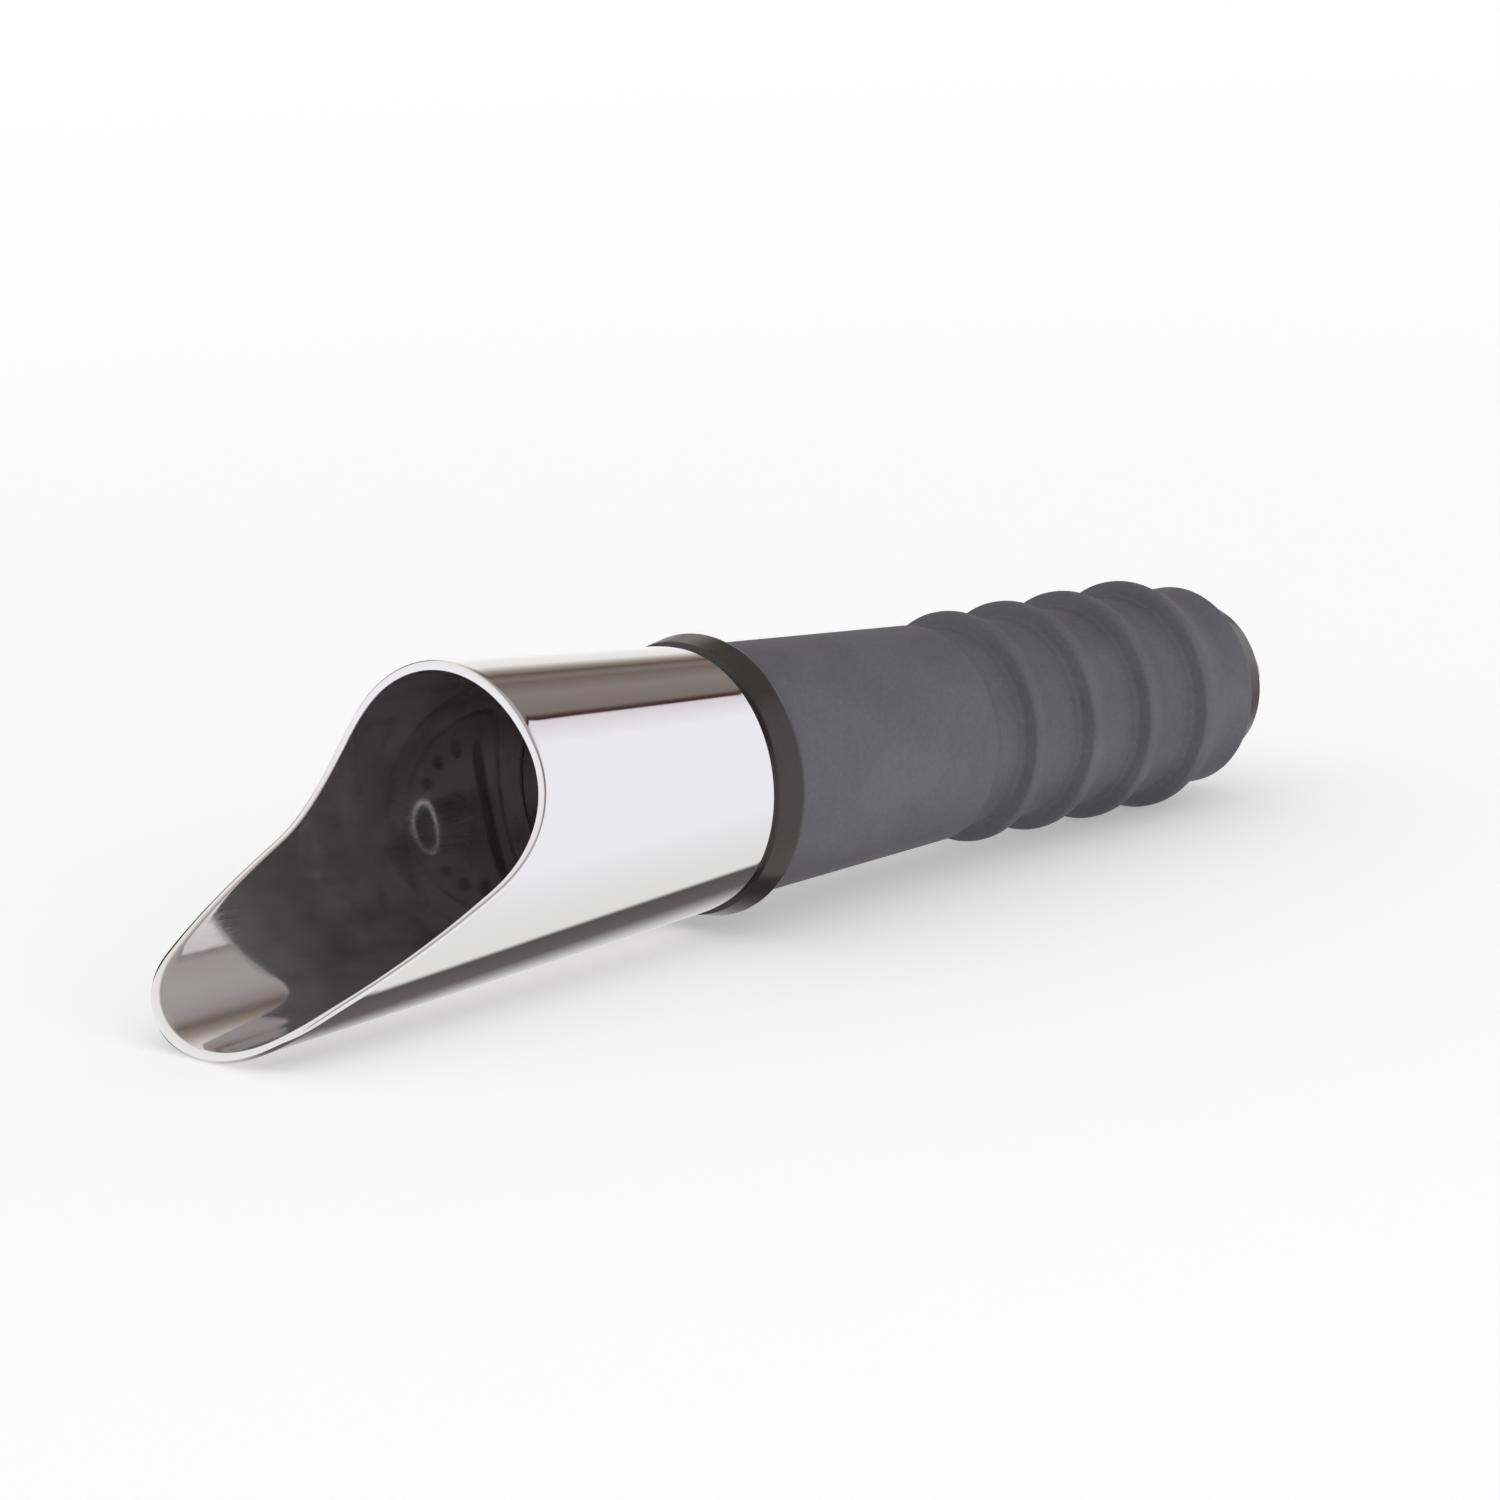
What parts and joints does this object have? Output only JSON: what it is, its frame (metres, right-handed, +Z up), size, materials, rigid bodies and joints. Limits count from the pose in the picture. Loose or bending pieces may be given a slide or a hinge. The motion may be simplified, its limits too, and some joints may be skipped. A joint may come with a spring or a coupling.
{
  "type": "wine aerator pourer",
  "caption": "Flared steel pouring spout with a slanting mouth and long lip, on a black flanged core with a tapered ribbed stopper, aerating jets, strainer and air tube.",
  "frame": {"origin": "centre of the bounding box on the plane that the pourer lies on", "axes": "+X from the bottle end towards the mouth, +Z up, Y across; the pourer's own axis rises 2.89 degrees towards the mouth because it lies on the tip of its lip and on its last rib"},
  "size_m": [0.121, 0.0268, 0.0268],
  "materials": {
    "polished_steel": "mirror polished stainless steel",
    "black_plastic": "semi-gloss moulded",
    "dark_silicone": "matt, fine grained",
    "seal_silicone": "smooth",
    "insert_plastic": "smooth moulded",
    "sheet_steel": "perforated sheet, satin",
    "tube_steel": "drawn tube, satin"
  },
  "bodies": {
    "root": {"spout": "polished_steel", "core": "black_plastic", "stopper": "dark_silicone", "spout_seal": "seal_silicone", "aerator": "insert_plastic", "strainer": "sheet_steel", "air_tube": "tube_steel"}
  },
  "joints": []
}
